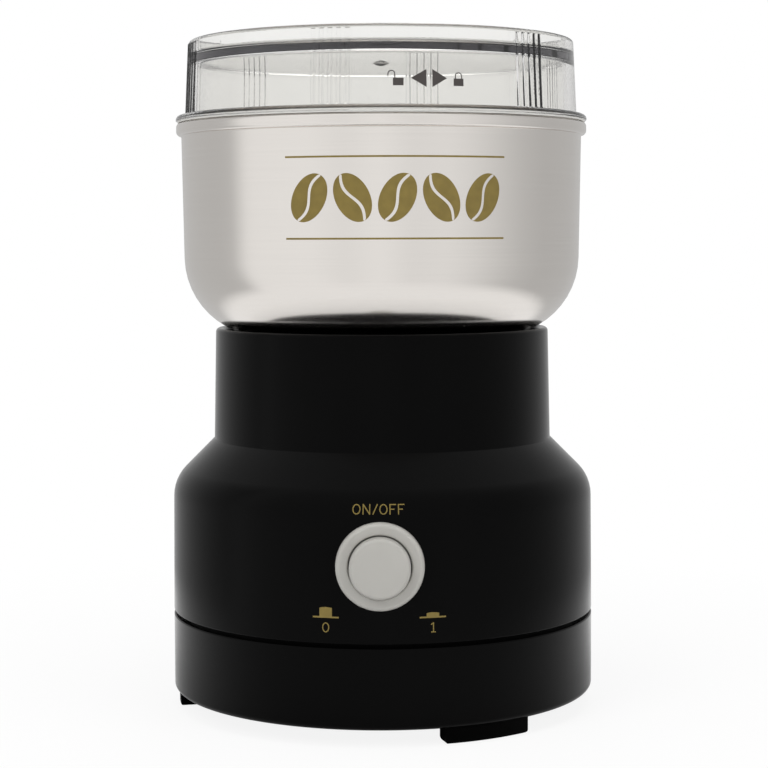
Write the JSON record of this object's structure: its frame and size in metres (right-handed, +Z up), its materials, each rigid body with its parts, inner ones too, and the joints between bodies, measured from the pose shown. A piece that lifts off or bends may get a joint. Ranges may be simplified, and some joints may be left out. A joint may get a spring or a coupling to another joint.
{
  "type": "electric coffee grinder",
  "caption": "Upright electric blade grinder for coffee beans with a clear twist-off lid, a round steel bowl, a necked glossy housing and a push button at the front.",
  "frame": {"origin": "on the table plane under the grinder's axis, at the bottom of the feet", "axes": "+Z up along the axis through the bowl and the lid, -Y out of the push button, +X to its right"},
  "size_m": [0.109, 0.1189, 0.1706],
  "materials": {
    "gloss_black": "glossy black moulding",
    "foot_rubber": "matte black rubber",
    "clear_plastic": "clear polished plastic",
    "bowl_steel": "satin stainless steel",
    "grey_button": "satin light grey moulding",
    "seal_rubber": "dark soft rubber",
    "seal_silicone": "pale silicone",
    "plain_steel": "plain bright steel",
    "laminated_steel": "stacked electrical steel",
    "copper_winding": "enamelled copper wire",
    "copper_bar": "bare copper segments",
    "cast_alloy": "die-cast alloy",
    "bearing_bronze": "sintered bronze",
    "switch_plastic": "dark moulded plastic",
    "brush_carbon": "pressed carbon",
    "fan_plastic": "natural moulded plastic",
    "terminal_brass": "plain brass",
    "lead_cover": "insulated wire"
  },
  "bodies": {
    "grinder_body": {"base_cover": "gloss_black", "foot_front_right": "foot_rubber", "foot_rear_right": "foot_rubber", "foot_left": "foot_rubber", "base_screws": "plain_steel", "cord_gland": "foot_rubber", "motor_housing": "gloss_black", "button_bezel": "grey_button", "button_spring": "plain_steel", "switch_body": "switch_plastic", "switch_terminals": "terminal_brass", "switch_screws": "plain_steel", "grinding_bowl": "bowl_steel", "bowl_gasket": "seal_rubber", "bowl_clamp_nut": "plain_steel", "shaft_seal": "seal_rubber", "motor_damper": "seal_rubber", "upper_motor_bracket": "cast_alloy", "lower_motor_bracket": "cast_alloy", "upper_bearing": "bearing_bronze", "lower_bearing": "bearing_bronze", "motor_screws": "plain_steel", "motor_nuts": "plain_steel", "motor_mount_screws": "plain_steel", "stator_core": "laminated_steel", "field_coil_front": "copper_winding", "field_coil_rear": "copper_winding", "brush_holder_right": "switch_plastic", "brush_holder_left": "switch_plastic", "carbon_brush_right": "brush_carbon", "carbon_brush_left": "brush_carbon", "brush_spring_right": "plain_steel", "brush_spring_left": "plain_steel", "lead_switch_to_coil": "lead_cover", "lead_coil_to_right_brush": "lead_cover", "lead_coil_to_left_brush": "lead_cover"},
    "rotor": {"rotor_shaft": "plain_steel", "thrust_washers": "plain_steel", "armature_core": "laminated_steel", "armature_winding": "copper_winding", "commutator": "copper_bar", "cooling_fan": "fan_plastic", "fan_retainer": "plain_steel", "blade_collar": "plain_steel", "grinding_blade": "plain_steel", "blade_nut": "plain_steel"},
    "button": {"button_cap": "grey_button", "switch_plunger": "switch_plastic"},
    "lid_seal_ring": {"lid_seal": "seal_silicone"},
    "lid": {"lid_cover": "clear_plastic"}
  },
  "joints": [
    {"name": "rotor_spin", "type": "hinge", "parent": "grinder_body", "child": "rotor", "pos_m": [0, 0, 0.1], "axis": [0, 0, 1], "continuous": true},
    {"name": "button_press", "type": "slide", "parent": "grinder_body", "child": "button", "axis": [0, 1, 0], "range_m": [0, 0.003], "stiffness_N_per_m": 900, "springref_m": -0.001, "deforming": ["button_spring"]},
    {"name": "lid_lift", "type": "slide", "parent": "grinder_body", "child": "lid_seal_ring", "axis": [0, 0, 1], "range_m": [0, 0.06]},
    {"name": "lid_twist", "type": "hinge", "parent": "lid_seal_ring", "child": "lid", "pos_m": [0, 0, 0.15], "axis": [0, 0, 1], "range_deg": [0, 25]}
  ]
}
